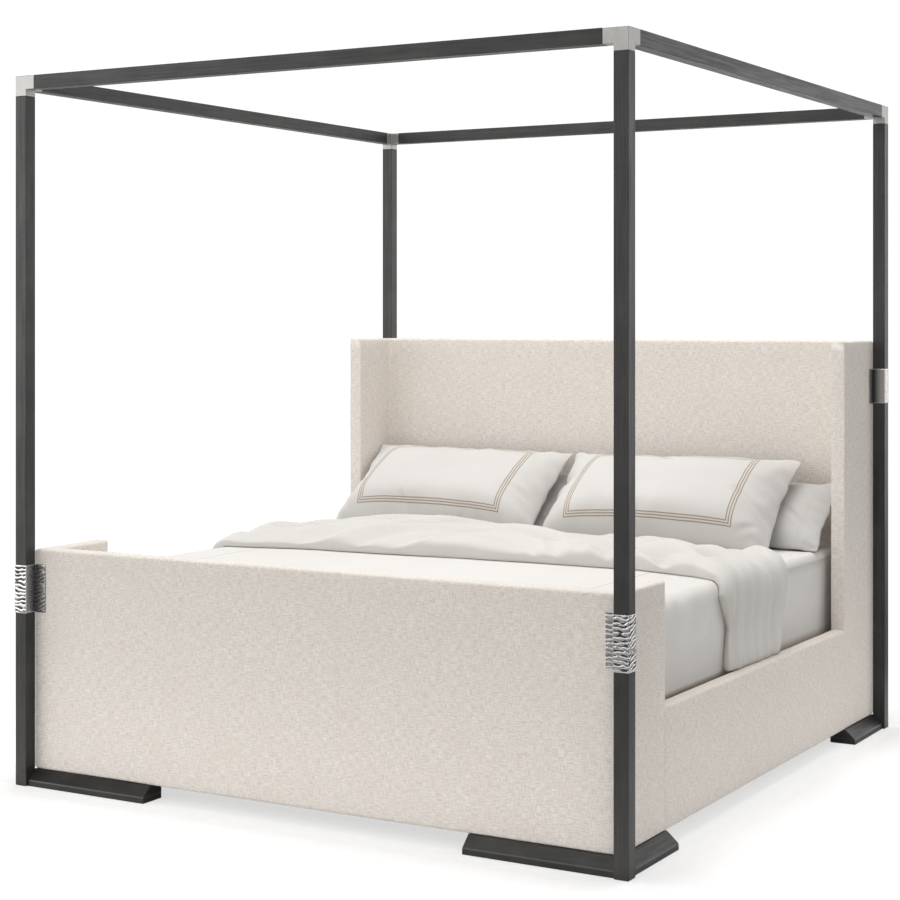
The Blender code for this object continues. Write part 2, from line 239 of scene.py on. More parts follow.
def oatmeal_linen():
    """Heavy slubby linen on the padded boards."""
    finish = Finish("oatmeal_linen", Roughness=0.92, Sheen_Weight=0.12, Sheen_Roughness=0.5)
    u_v = finish.place("UV")
    across, upright = slubs(finish, u_v, 0.0030, 0.13)
    weave = threads(finish, u_v, 0.0021)
    cloud = finish.noise(u_v, 9.0, 5.0, 0.6)
    patch = finish.noise(u_v, 34.0, 2.0).rise(0.36, 0.64)
    mottle = across * (0.42 + patch * 0.30) + upright * (0.58 - patch * 0.30) + weave * 0.03
    base = finish.blend(mottle.rise(0.35, 0.63), (0.664, 0.610, 0.555), (0.942, 0.880, 0.815))
    warm = finish.blend(cloud.rise(0.3, 0.75) * 0.28, base, (0.765, 0.685, 0.610))
    height = mottle + weave * 0.30
    return finish.wear(warm, 0.84 + mottle * 0.14, height, 0.0013, 0.65)


def white_cotton(name, tint_and_shade=(1.0, 1.0, 1.0), lines=None):
    """Washed percale. lines, if given, is a function that draws coloured stitching."""
    finish = Finish(name, Roughness=0.85, Sheen_Weight=0.10, Sheen_Roughness=0.4)
    u_v = finish.place("UV")
    across, upright = slubs(finish, u_v, 0.0015)
    cloud = finish.noise(u_v, 5.0, 4.0)
    weave = (across + upright) * 0.5
    # The tint passed in scales the colour: a slight tint of its own for the fitted sheet, a darker tone
    # for the shams, and painted shade for the duvet and back pillows.
    pale = [0.715 * tint_and_shade[0], 0.694 * tint_and_shade[1], 0.664 * tint_and_shade[2]]
    deep = [part * 0.955 for part in pale]
    colour = finish.blend(weave.rise(0.35, 0.65) * 0.6 + cloud.rise(0.3, 0.7) * 0.4, deep, pale)
    height = weave * 0.5
    if lines:
        colour, height = lines(finish, u_v, colour, height)
    return finish.wear(colour, 0.80 + weave * 0.12, height, 0.0005, 0.35)


def stitched_border(half_width, half_height, pitch=0.0098, half=0.0021):
    """Three embroidered rectangles, one inside the other, round the middle of a sham."""

    def draw(finish, u_v, colour, height):
        u, v, _ = finish.parts(u_v)
        out = (abs(u) - half_width).at_least(abs(v) - half_height)
        thread = out.line(0.0, half) + out.line(pitch, half) + out.line(2 * pitch, half)
        ground = abs(out - pitch).rise(pitch * 1.35, pitch * 1.6)
        satin = finish.noise(u_v, 700.0, 1.0)
        taupe = finish.blend(satin, (0.245, 0.205, 0.170), (0.345, 0.295, 0.250))
        tinted = finish.blend(1 - ground, colour, (0.60, 0.565, 0.515))
        return finish.blend(thread, tinted, taupe), height + thread * 1.4

    return draw


def hem_lines(positions, half, shade=(0.50, 0.48, 0.45)):
    """Fine stitched lines that run along V at those places across U."""

    def draw(finish, u_v, colour, height):
        u, _, _ = finish.parts(u_v)
        for place in positions:
            line = u.line(place, half)
            colour = finish.blend(line, colour, shade)
            height = height - line * 1.2
        return colour, height

    return draw


def sanded_pine():
    """Pale softwood of the slat base, its grain stretched along the bed."""
    finish = Finish("sanded_pine")
    place = finish.place()
    grain = finish.noise(finish.stretched(place, (55.0, 2.5, 55.0)), 1.0, 5.0, 0.6)
    colour = finish.blend(grain.rise(0.3, 0.7), (0.62, 0.43, 0.23), (0.78, 0.60, 0.38))
    return finish.wear(colour, 0.50 + grain * 0.2, grain, 0.0004, 0.5)


def zinc_plate():
    """Bright zinc with a faint spangle, on the plates inside the rails."""
    finish = Finish("zinc_plate", Metallic=1.0)
    place = finish.place()
    spangle = finish.noise(place, 60.0, 3.0)
    colour = finish.blend(spangle.rise(0.35, 0.65), (0.42, 0.43, 0.45), (0.60, 0.61, 0.62))
    return finish.wear(colour, 0.32 + spangle * 0.2, spangle, 0.0003, 0.3)


# ---------------------------------------------------------------- mesh helpers

def add_piece(name, bm, material, body, replaced):
    """An object from a mesh, riding on a body and standing for CAD nodes."""
    mesh = bpy.data.meshes.new(name)
    bm.to_mesh(mesh)
    bm.free()
    mesh.shade_smooth()
    mesh.materials.append(material)
    piece = bpy.data.objects.new(name, mesh)
    bpy.context.scene.collection.objects.link(piece)
    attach(piece, body)
    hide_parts(*replaced)
    return piece


def apply_modifiers(piece):
    """Puts the piece's evaluated mesh in place of its own."""
    bpy.context.view_layer.update()
    graph = bpy.context.evaluated_depsgraph_get()
    made = bpy.data.meshes.new_from_object(piece.evaluated_get(graph))
    piece.modifiers.clear()
    old, name = piece.data, piece.data.name
    piece.data = made
    bpy.data.meshes.remove(old)
    made.name = name


def points_of(piece):
    flat = np.zeros(len(piece.data.vertices) * 3, np.float32)
    piece.data.vertices.foreach_get("co", flat)
    return flat.reshape(-1, 3).astype(float)


def set_points(piece, points):
    piece.data.vertices.foreach_set("co", np.asarray(points, np.float32).ravel())
    piece.data.update()


def ticks(*stops, pitch):
    """Values through all the stops, evenly spaced between them at about that pitch."""
    values = [stops[0]]
    for low, high in zip(stops, stops[1:]):
        steps = max(1, round((high - low) / pitch))
        values += [low + (high - low) * step / steps for step in range(1, steps + 1)]
    return values


def skin_of_cells(xs, ys, zs, filled):
    """The closed skin round the filled cells of a grid, as dense quads."""
    bm = bmesh.new()
    verts = {}
    counts = (len(xs) - 1, len(ys) - 1, len(zs) - 1)

    def vert(key):
        if key not in verts:
            verts[key] = bm.verts.new((xs[key[X]], ys[key[Y]], zs[key[Z]]))
        return verts[key]

    def is_filled(cell):
        if any(not 0 <= cell[axis] < counts[axis] for axis in range(3)):
            return False
        i, j, k = cell
        return filled((xs[i] + xs[i + 1]) / 2, (ys[j] + ys[j + 1]) / 2, (zs[k] + zs[k + 1]) / 2)

    solid = {cell for cell in np.ndindex(*counts) if is_filled(cell)}
    for cell in sorted(solid):
        for axis in range(3):
            for side in (0, 1):
                beside = list(cell)
                beside[axis] += 2 * side - 1
                if tuple(beside) in solid:
                    continue
                corner = []
                for a, b in ((0, 0), (1, 0), (1, 1), (0, 1)):
                    key = list(cell)
                    key[axis] += side
                    key[(axis + 1) % 3] += a
                    key[(axis + 2) % 3] += b
                    corner.append(vert(tuple(key)))
                bm.faces.new(corner if side else corner[::-1])
    return bm


SHARP = math.radians(40)  # an edge that turns further than this gets rounded
ON_PLANE = 1e-5           # how near to a plane a corner lies on it


def soften_edges(piece, radius, seams=(), segments=4):
    """Rounds the sharp edges.

    Each seam is a tighter radius and the planes (axis, place) that its edges lie on.
    """
    mesh = piece.data
    weights = mesh.attributes.new("bevel_weight_edge", "FLOAT", "EDGE")
    bm = bmesh.new()
    bm.from_mesh(mesh)
    values = []
    for edge in bm.edges:
        sharp = edge.calc_face_angle(0.0) > SHARP
        value = 1.0 if sharp else 0.0
        for tight, planes in seams:
            on_seam = all(abs(vert.co[axis] - place) < ON_PLANE
                          for axis, place in planes for vert in edge.verts)
            if sharp and on_seam:
                value = tight / radius
        values.append(value)
    bm.free()
    weights.data.foreach_set("value", values)
    bevel = piece.modifiers.new("rounding", "BEVEL")
    bevel.limit_method = "WEIGHT"
    bevel.width = radius
    bevel.segments = segments
    apply_modifiers(piece)
    leftover = piece.data.attributes.get("bevel_weight_edge")
    if leftover:
        piece.data.attributes.remove(leftover)
    piece.data.shade_smooth()


def unwrap_by_side(piece):
    """UV in metres, read off the two axes that each face lies along."""
    mesh = piece.data
    layer = mesh.uv_layers.new(name="cloth")
    for polygon in mesh.polygons:
        normal = [abs(part) for part in polygon.normal]
        axis = normal.index(max(normal))
        u_axis, v_axis = ((Y, Z), (X, Z), (X, Y))[axis]
        for loop in polygon.loop_indices:
            co = mesh.vertices[mesh.loops[loop].vertex_index].co
            layer.data[loop].uv = (co[u_axis], co[v_axis])


def swell(piece, amount):
    """Moves each point along its normal by amount(point, normal)."""
    points = points_of(piece)
    normals = [vert.normal.copy() for vert in piece.data.vertices]
    for index, normal in enumerate(normals):
        point = Vector(points[index])
        points[index] += np.array(normal) * amount(point, normal)
    set_points(piece, points)


def smooth_step(low, high, value):
    """0 at low and 1 at high, with an even ease between."""
    t = min(1.0, max(0.0, (value - low) / (high - low)))
    return t * t * (3 - 2 * t)


# ---------------------------------------------------------------- padded box

LINEN_EDGE = 0.009        # radius of a free padded edge
JOINT_EDGE = 0.0022       # where two padded pieces butt
POST_EDGE = 0.0004        # where a corner is pressed against a post
BY_POST = 0.0015          # how near to that corner the cover is pressed flat
CELL = 0.034              # spacing of the points of a padded cover


def upholster(piece, seams, corners=()):
    """Rounds, swells and unwraps a padded piece; its corners (x, y) press on the posts."""

    def fullness(point, normal):
        pressed = any(abs(point.x - x) < BY_POST and abs(point.y - y) < BY_POST for x, y in corners)
        soft = 0.0009 * noise.noise(point * 4.5) + 0.0004 * noise.noise(point * 19.0)
        return 0.0008 if pressed else soft

    soften_edges(piece, LINEN_EDGE, seams)
    swell(piece, fullness)
    unwrap_by_side(piece)


def wing_board(board, linen):
    """A board with its two side wings, covered as one padded piece.

    Its edges are tight where the side rails butt on and down the corners behind the posts.
    """
    panel = f"{board}_panel"
    wings = [f"{board}_wing_{side}" for side in ("left", "right")]
    low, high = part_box(panel)
    wing_low, wing_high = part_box(wings[0])
    inner = -wing_high.x
    at_foot = low.y < wing_low.y
    if at_foot:
        ys = ticks(low.y, high.y, wing_high.y, pitch=CELL)
        wall, outer, end = high.y, low.y, wing_high.y
    else:
        ys = ticks(wing_low.y, low.y, high.y, pitch=CELL)
        wall, outer, end = low.y, high.y, wing_low.y
    xs = ticks(low.x, -inner, inner, high.x, pitch=CELL)
    zs = ticks(low.z, high.z, pitch=CELL)
    bm = skin_of_cells(xs, ys, zs, lambda x, y, z: abs(x) > inner or (y < wall) == at_foot)
    piece = add_piece(f"{board}_cover", bm, linen, "bedstead", (panel, *wings))
    corners = [(low.x, outer), (high.x, outer)]
    seams = [(JOINT_EDGE, [(Y, end)])] + [(POST_EDGE, [(X, x), (Y, y)]) for x, y in corners]
    upholster(piece, seams, corners)


def side_rail(side, linen):
    low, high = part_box(f"side_rail_{side}")
    grids = [ticks(low[axis], high[axis], pitch=CELL) for axis in (X, Y, Z)]
    bm = skin_of_cells(*grids, lambda x, y, z: True)
    piece = add_piece(f"side_rail_cover_{side}", bm, linen, "bedstead",
                      (f"side_rail_{side}",))
    upholster(piece, [(JOINT_EDGE, [(Y, low.y)]), (JOINT_EDGE, [(Y, high.y)])])


def make_padded_box():
    linen = oatmeal_linen()
    for board in ("footboard", "headboard"):
        wing_board(board, linen)
    for side in ("left", "right"):
        side_rail(side, linen)


# ---------------------------------------------------------------- hammered clamps

RELIEF = 0.0012           # how far the ridges stand over the grooves
RELIEF_PITCH = 0.0020     # spacing of the points that carry them
RIDGE_PITCH = 0.0128      # from one ridge to the next
STRAP_BEND = 0.0012       # radius of the folds, drawn in BEND_STEPS steps
BEND_STEPS = 4


def strap_path(corner):
    """The strap's middle line in plan, from one flange round the post to the other.

    Each place is (point on the bed, outward normal, distances inwards from the corner). With
    it come the strap's heights, half its thickness and how far inwards it turns off the post.
    """
    post_low, post_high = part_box(f"post_{corner}")
    low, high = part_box(f"post_clamp_{corner}")
    sign_x = 1 if "right" in corner else -1
    sign_y = 1 if "back" in corner else -1
    post = post_high.x - post_low.x
    reach = high.x - low.x
    edge_x = high.x if sign_x > 0 else low.x
    edge_y = high.y if sign_y > 0 else low.y
    proud = abs(edge_x) - max(abs(post_low.x), abs(post_high.x))
    half = proud * 0.42
    face = post - half * 0.4
    back = post + 2 * proud - half
    stops = [(reach, face), (back, face), (back, half), (half, half), (half, back), (face, back),
             (face, reach)]
    points = [Vector(stops[0])]
    for before, here, after in zip(stops, stops[1:], stops[2:]):
        before, here, after = Vector(before), Vector(here), Vector(after)
        into = (here - before).normalized()
        out = (after - here).normalized()
        for step in range(BEND_STEPS + 1):
            t = step / BEND_STEPS
            start = here - into * STRAP_BEND * (1 - t)
            points.append(start.lerp(here + out * STRAP_BEND * t, t))
    points.append(Vector(stops[-1]))
    dense = [points[0]]
    for a, b in zip(points, points[1:]):
        steps = max(1, round((b - a).length / RELIEF_PITCH))
        dense += [a.lerp(b, step / steps) for step in range(1, steps + 1)]
    route = []
    for before, here, after in zip(dense[:1] + dense, dense, dense[1:] + dense[-1:]):
        tangent = (after - before).normalized()
        normal = Vector((-tangent.y, tangent.x))
        place = Vector((edge_x - sign_x * here.x, edge_y - sign_y * here.y))
        outward = Vector((-sign_x * normal.x, -sign_y * normal.y))
        route.append((place, outward, here))
    if route[0][1].y * sign_y < 0:
        route = [(place, -outward, here) for place, outward, here in route]
    return route, (low.z, high.z), half, back


# Darkness of the flanges that run out over the panels, 0 to 1
TARNISH = {"front_left": 0.32, "front_right": 0.06, "back_left": 0.30, "back_right": 0.30}
ON_POST = 0.003           # a place nearer to the outside than this is on the post's outer faces
OFF_POST = 0.001          # and one further in than the post by this is on a flange


def strap_wear_and_shade(here, half, back, corner):
    """Depth of the ridges, darkness of the tarnish and of the painted shade in the recess, and slant, from
    the place in plan.

    The post's outer faces come first, then the flanges, then the faces that turn in to them.
    """
    at_front = "front" in corner
    inner = (Vector((max(here), min(here))) - Vector((back, back * 0.98))).length
    # Painted shade: darker towards the inner corner, where the flange meets the post.
    recess_shade = 1 - smooth_step(0.0, 0.036, inner)
    fold = min(abs(max(here) - half), abs(max(here) - back))
    pressed = smooth_step(0.0004, 0.0026, fold)
    if min(here) < ON_POST:
        depth, tarnish_and_shade = 1.0, 0.0 if at_front else 0.16
        slant = 0.42 if here.x < here.y else 0.0
    elif max(here) > back + OFF_POST:
        depth, tarnish_and_shade = 0.60, TARNISH[corner] + 0.26 * recess_shade
        slant = 0.5 if "left" in corner else 0.0
    else:
        # The faces that turn in to the flanges are painted darker: painted shade in the recess.
        depth, tarnish_and_shade, slant = 0.10, (0.20 if at_front else 0.38) + 0.60 * recess_shade, 0.0
    return depth * pressed * (1.0 if at_front else 0.30), tarnish_and_shade, slant * max(here)


def hammer_relief(run, z, seed, depth, slant):
    """Height of the beaten ridges, 0 in the grooves to 1 on the crests."""
    wander = noise.noise(Vector((run * 48, z * 26, seed)))
    ridge = math.sin((z - slant) * 2 * math.pi / RIDGE_PITCH + wander * 2.6 + seed)
    branch = noise.noise(Vector((run * 62, z * 105, seed + 7.3)))
    return smooth_step(-0.95, 0.35, ridge + branch * 1.9) * depth + (1 - depth)


def make_clamps():
    """Four straps of beaten metal, each with its ridges in the mesh."""
    silver = hammered_silver()
    for seed, corner in enumerate(("front_left", "front_right", "back_left", "back_right")):
        route, (z0, z1), half, back = strap_path(corner)
        bm = bmesh.new()
        relief = bm.verts.layers.float.new("relief")
        tarnish_and_shade = bm.verts.layers.float.new("tarnish_and_shade")
        rows = ticks(z0, z1, pitch=RELIEF_PITCH)
        run, before = 0.0, route[0][0]
        outer, inner = [], []
        for point, normal, here in route:
            run += (point - before).length
            before = point
            depth, dark, slant = strap_wear_and_shade(here, half, back, corner)
            column = []
            for z in rows:
                rim = smooth_step(0.0, 0.004, min(z - z0, z1 - z))
                rise = hammer_relief(run, z, seed * 11.0, depth, slant)
                place = point + normal * (half + RELIEF * (rise - 0.6) * rim)
                vert = bm.verts.new((place.x, place.y, z))
                vert[relief] = rise * rim + (1 - rim)
                vert[tarnish_and_shade] = dark * (0.4 + 0.6 * rim)
                column.append(vert)
            outer.append(column)
            back_face = point - normal * half
            inner.append([bm.verts.new((back_face.x, back_face.y, z)) for z in (z0, z1)])
        for left, right in zip(outer, outer[1:]):
            for k in range(len(rows) - 1):
                bm.faces.new([left[k], right[k], right[k + 1], left[k + 1]])
        for (a, c), (b, d), left, right in zip(inner, inner[1:], outer, outer[1:]):
            bm.faces.new([a, c, d, b])
            bm.faces.new([left[0], a, b, right[0]])
            bm.faces.new([left[-1], right[-1], d, c])
        bm.faces.new([*outer[0], inner[0][1], inner[0][0]])
        bm.faces.new([*outer[-1][::-1], inner[-1][0], inner[-1][1]])
        bmesh.ops.recalc_face_normals(bm, faces=bm.faces)
        add_piece(f"hammered_clamp_{corner}", bm, silver, "bedstead",
                  (f"post_clamp_{corner}",))


# ---------------------------------------------------------------- cloth

BLOW_STEPS = 22           # steps of the simulation that blows up a pillow case
BLOW_PRESSURE = 5.0
BLOW_LIMIT = 0.13         # no point of the case moves further than this
CASE_SLACK = 0.01         # how much larger the cloth is than its cut
CASE_STIFFNESS = 25.0


def blow_up(piece):
    """A short cloth simulation of a case under pressure, applied."""
    before = points_of(piece)
    cloth = piece.modifiers.new("cloth", "CLOTH")
    settings = cloth.settings
    settings.quality = 5
    settings.mass = 0.25
    settings.tension_stiffness = CASE_STIFFNESS
    settings.compression_stiffness = CASE_STIFFNESS
    settings.shear_stiffness = CASE_STIFFNESS / 2
    settings.bending_stiffness = 0.15
    settings.air_damping = 4.0
    settings.effector_weights.gravity = 0.0
    settings.shrink_min = -CASE_SLACK
    settings.use_pressure = True
    settings.uniform_pressure_force = BLOW_PRESSURE
    cloth.collision_settings.use_collision = False
    cloth.collision_settings.use_self_collision = False
    cloth.point_cache.frame_start = 1
    cloth.point_cache.frame_end = BLOW_STEPS
    scene = bpy.context.scene
    for step in range(1, BLOW_STEPS + 1):
        scene.frame_set(step)
    apply_modifiers(piece)
    scene.frame_set(1)
    moved = points_of(piece) - before
    length = np.linalg.norm(moved, axis=1, keepdims=True)
    moved *= np.minimum(1.0, BLOW_LIMIT / np.maximum(length, 1e-9))
    set_points(piece, before + moved)


def add_subdivision(piece):
    """Splits each face of the case into four, applied."""
    subdivision = piece.modifiers.new("fine", "SUBSURF")
    subdivision.levels = 1
    subdivision.render_levels = 1
    apply_modifiers(piece)
    piece.data.shade_smooth()


# ---------------------------------------------------------------- mattress and covers

MATTRESS_EDGE = 0.036     # radius of its rounded edge
MATTRESS_CELL = 0.030
SHEET_GAP = 0.0006        # between the mattress and the top sheet
SHEET_PITCH = 0.016
DUVET_GAP = 0.0012        # between the top sheet and the duvet
DUVET_PITCH = 0.011
DUVET_ROWS = 58
OVER_EDGE = (0.90, 1.02)  # from the flat top to the sides, across the bed from its middle


def make_mattress():
    """The mattress in its white fitted sheet."""
    low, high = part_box("mattress")
    grids = [ticks(low[axis], high[axis], pitch=MATTRESS_CELL) for axis in (X, Y, Z)]
    bm = skin_of_cells(*grids, lambda x, y, z: True)
    cotton = white_cotton("fitted_sheet_cotton", (1.0, 1.0, 1.005))
    piece = add_piece("mattress_fitted_sheet", bm, cotton, "mattress", ("mattress",))
    soften_edges(piece, MATTRESS_EDGE, segments=6)

    def gathers(p, n):
        """Upright pleats on the sides, deeper towards the lower edge, and a nearly flat top."""
        side = 1 - abs(n.z)
        down = smooth_step(high.z, low.z, p.z)
        run = p.y if abs(n.x) > abs(n.y) else p.x
        pleat = noise.noise(Vector((run * 22, p.z * 2.2, 3.1)))
        pleat += 0.6 * noise.noise(Vector((run * 55, p.z * 3, 9.7)))
        soft = noise.noise(p * 6.0)
        return side * (0.0032 + 0.0040 * down) * (pleat - 0.7) + 0.0007 * (soft - 0.4)

    swell(piece, gathers)
    unwrap_by_side(piece)


def arch_point(run, half, top, radius):
    """Point and outward normal, in X and Z, that far across the bed from its middle."""
    way = 1 if run >= 0 else -1
    run = abs(run)
    flat = half - radius
    quarter = radius * math.pi / 2
    if run <= flat:
        return way * run, top, 0.0, 1.0
    if run <= flat + quarter:
        x, z = math.sin((run - flat) / radius), math.cos((run - flat) / radius)
        return way * (flat + radius * x), top - radius + radius * z, way * x, z
    return way * half, top - radius - (run - flat - quarter), way * 1.0, 0.0


def arch_reach(half, top, drop, radius):
    """How far it is across the bed from the middle of its top to a hem at that height."""
    return half - radius + radius * math.pi / 2 + top - radius - drop


def draped_cloth(arch, reach, pitch, rows, lift, curl=None):
    """A closed cloth over the bed, from one hem to the other.

    rows(run) gives its places along Y, from its front edge, lift(run, y, share) how far its
    upper skin stands off its lower one, and curl how far that skin hangs over the front edge.
    """
    bm = bmesh.new()
    u_v = bm.loops.layers.uv.new("cloth")
    flat = {}
    lower, upper = [], []
    steps = round(2 * reach / pitch)
    for step in range(steps + 1):
        run = reach - 2 * reach * step / steps
        x, z, nx, nz = arch_point(run, *arch)
        ys = rows(run)
        under, over = [], []
        for j, y in enumerate(ys):
            out = lift(run, y, j / (len(ys) - 1))
            ahead = curl(run, y, j / (len(ys) - 1)) if curl else 0.0
            under.append(bm.verts.new((x, y, z)))
            over.append(bm.verts.new((x + nx * out, y - ahead, z + nz * out)))
            flat[under[-1]] = flat[over[-1]] = (run, y)
        lower.append(under)
        upper.append(over)
    last_i, last_j = steps, len(lower[0]) - 1
    for i in range(last_i):
        for j in range(last_j):
            bm.faces.new([upper[i][j], upper[i][j + 1], upper[i + 1][j + 1], upper[i + 1][j]])
            bm.faces.new([lower[i][j], lower[i + 1][j], lower[i + 1][j + 1], lower[i][j + 1]])
        bm.faces.new([lower[i][0], upper[i][0], upper[i + 1][0], lower[i + 1][0]])
        bm.faces.new([lower[i][last_j], lower[i + 1][last_j], upper[i + 1][last_j], upper[i][last_j]])
    for j in range(last_j):
        bm.faces.new([lower[0][j], lower[0][j + 1], upper[0][j + 1], upper[0][j]])
        bm.faces.new([lower[last_i][j], upper[last_i][j], upper[last_i][j + 1], lower[last_i][j + 1]])
    for face in bm.faces:
        for loop in face.loops:
            loop[u_v].uv = flat[loop.vert]
    return bm


def make_top_sheet():
    """A plain white sheet, tucked in at the foot and hanging inside the side rails."""
    low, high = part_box("top_sheet")
    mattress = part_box("mattress")[1]
    lines = hem_lines((-0.800, 0.685), 0.0020, (0.40, 0.375, 0.34))
    cotton = white_cotton("sheet_cotton", lines=lines)
    arch = (mattress.x + SHEET_GAP, mattress.z + SHEET_GAP, MATTRESS_EDGE)
    reach = arch_reach(arch[0], arch[1], low.z, arch[2])
    ys = ticks(low.y, high.y, pitch=SHEET_PITCH)

    def lift(run, y, share):
        """Nearly flat on top; long slack folds slant down the sides."""
        side = smooth_step(*OVER_EDGE, abs(run))
        soft = noise.noise(Vector((run * 3.2, y * 4.1, 1.7)))
        along, over = abs(run) - y, abs(run) + y
        slack = 1.8 * abs(noise.noise(Vector((along * 1.6, over * 8.0, 8.8))))
        fine = abs(noise.noise(Vector((along * 3.0, over * 17.0, 2.8))))
        # Free above the side rail and in front of the duvet, pressed flat elsewhere
        free = side * (1 - smooth_step(1.08, 1.17, abs(run))) * (1 - smooth_step(-0.36, -0.25, y))
        return 0.0018 + 0.0007 * (soft + 0.6) + free * (0.0150 * slack + 0.0060 * fine)

    bm = draped_cloth(arch, reach, SHEET_PITCH, lambda run: ys, lift)
    piece = add_piece("top_sheet_cloth", bm, cotton, "mattress", ("top_sheet",))
    round(2 * reach, 3)


# The folded duvet across the bed: run, front fold, back edge, thickness, width of its round
DUVET_SECTIONS = np.array((
    (-1.225, -0.190, 0.265, 0.036, 0.045), (-1.100, -0.165, 0.305, 0.037, 0.045),
    (-0.995, -0.215, 0.315, 0.038, 0.050), (-0.880, -0.200, 0.400, 0.044, 0.090),
    (-0.620, -0.140, 0.470, 0.061, 0.150), (-0.300, -0.120, 0.480, 0.073, 0.170),
    (0.000, -0.090, 0.480, 0.075, 0.170), (0.340, -0.080, 0.470, 0.066, 0.150),
    (0.620, -0.075, 0.445, 0.050, 0.110), (0.860, -0.145, 0.405, 0.041, 0.070),
    (0.995, -0.225, 0.315, 0.038, 0.050), (1.100, -0.165, 0.305, 0.037, 0.045),
    (1.225, -0.190, 0.265, 0.036, 0.045),
))


def make_duvet():
    """The duvet folded back on itself in a band across the bed, hanging over both sides."""
    low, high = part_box("duvet")
    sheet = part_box("top_sheet")[1]
    # The duvet's cotton is painted darker than the sheets: painted shade standing in for the shade of its
    # folds.
    cotton = white_cotton("duvet_cotton_painted_shade", (0.900, 0.896, 0.887))
    arch = (sheet.x + DUVET_GAP, sheet.z + DUVET_GAP, MATTRESS_EDGE + 0.001)
    reach = arch_reach(arch[0], arch[1], low.z, arch[2])

    def section(run):
        return [float(np.interp(run, DUVET_SECTIONS[:, 0], DUVET_SECTIONS[:, k])) for k in range(1, 5)]

    def rows(run):
        front, back, _, _ = section(run)
        wander = 0.007 * noise.noise(Vector((run * 3.1, 4.4, 0.3)))
        wander += 0.003 * noise.noise(Vector((run * 11, 1.4, 2.3)))
        shares = [(row / DUVET_ROWS) ** 1.25 for row in range(DUVET_ROWS + 1)]
        return [front + wander + (back - front - wander) * share for share in shares]

    def lift(run, y, share):
        """Round at the front fold, full on top, thinner on the sides and at the back."""
        front, back, thick, round_width = section(run)
        into = min(1.0, share * (back - front) / round_width)
        nose = math.sqrt(max(0.0, 1 - (1 - into) ** 2))
        tail = math.sqrt(max(0.0, 1 - max(0.0, (share - 0.84) / 0.16) ** 2))
        flat = 1 - smooth_step(*OVER_EDGE, abs(run))
        # Folds run away from the foot to the right on the left half, towards it on the right half
        turn = math.radians(34 - 74 * smooth_step(-0.25, 0.55, run))
        down = run * math.cos(turn) + y * math.sin(turn)
        over = y * math.cos(turn) - run * math.sin(turn)
        long_fold = 2.4 * abs(noise.noise(Vector((down * 1.8, over * 7.0, 2.2)))) - 0.5
        short_fold = 2.4 * abs(noise.noise(Vector((down * 3.2, over * 13.0, 5.1)))) - 0.5
        swell = noise.noise(Vector((run * 2.6, y * 2.8, 7.7)))
        pleat = noise.noise(Vector((run * 1.3, y * 24.0, 6.6)))
        pleat += 0.5 * noise.noise(Vector((run * 2.4, y * 52.0, 1.6)))
        hang = smooth_step(1.02, 1.22, abs(run))
        waves = flat * (0.0340 * long_fold + 0.0170 * short_fold + 0.010 * swell)
        waves += (1 - flat) * (0.0085 * pleat + 0.006 * swell)
        body = thick - 0.004 + waves - 0.008 * hang * (1 - hang) * 4
        return 0.004 + max(0.004, body) * nose * (0.22 + 0.78 * tail)

    def curl(run, y, share):
        """The round of the front fold reaches out over where it touches the sheet."""
        front, back, thick, round_width = section(run)
        into = min(1.0, share * (back - front) / (0.55 * round_width))
        over = thick * (0.26 + 0.16 * smooth_step(*OVER_EDGE, abs(run)))
        return over * math.sin(math.pi * into ** 0.6)

    bm = draped_cloth(arch, reach, DUVET_PITCH, rows, lift, curl)
    piece = add_piece("duvet_fold", bm, cotton, "duvet", ("duvet",))


# ---------------------------------------------------------------- pillows

CASE = (0.960, 0.545)     # a flat king pillowcase
CASE_PITCH = 0.0140
CASE_RIM = 0.006          # how far its seams stay inside the room for it
CUT_HELD = 0.78           # share of the way that its seams go back to their cut line
SOFTENED = 12             # passes that press out the pinches along them
FOLD_HEIGHT = 0.005       # of the shallow folds all over it
CORNER_CRINKLE = 0.026
SEAM_FAN = 0.0150         # of the ripples that run in from its seams
BED_CLEARANCE = 0.0015    # between it and the mattress
SHAM_CLEARANCE = 0.0020   # between a pillow and the sham before it


def filled_case(node, seed, cotton):
    """A sewn case blown up by its filling, lying flat round the origin: X along, Y up it.

    Gives the piece, and for each point its place on the flat case and its side.
    """
    width, height = CASE
    columns, rows = round(width / CASE_PITCH), round(height / CASE_PITCH)
    bm = bmesh.new()
    u_v = bm.loops.layers.uv.new("cloth")
    flat, order = {}, []
    grids = []
    rim = {}
    for side in (1, -1):
        grid = []
        for i in range(columns + 1):
            column = []
            for j in range(rows + 1):
                edge = i in (0, columns) or j in (0, rows)
                if edge and (i, j) in rim:
                    column.append(rim[i, j])
                    continue
                a, b = 2 * i / columns - 1, 2 * j / rows - 1
                u, v = a * width / 2, b * height / 2
                start = side * 0.030 * (1 - a ** 4) * (1 - b ** 4)
                jitter = noise.noise(Vector((a * 5 + seed, b * 4, side * 3.0))) * 0.004
                vert = bm.verts.new((u, v, start + (0 if edge else jitter)))
                flat[vert] = (u, v)
                order.append((u, v, side))
                if edge:
                    rim[i, j] = vert
                column.append(vert)
            grid.append(column)
        grids.append(grid)
    for side, grid in zip((1, -1), grids):
        for i in range(columns):
            for j in range(rows):
                corner = [grid[i][j], grid[i + 1][j], grid[i + 1][j + 1], grid[i][j + 1]]
                face = bm.faces.new(corner if side > 0 else corner[::-1])
                for loop in face.loops:
                    u, v = flat[loop.vert]
                    loop[u_v].uv = (u, v) if side > 0 else (u + 3.0, v)
    piece = add_piece(f"{node}_case", bm, cotton, node, (node,))
    blow_up(piece)
    return piece, order


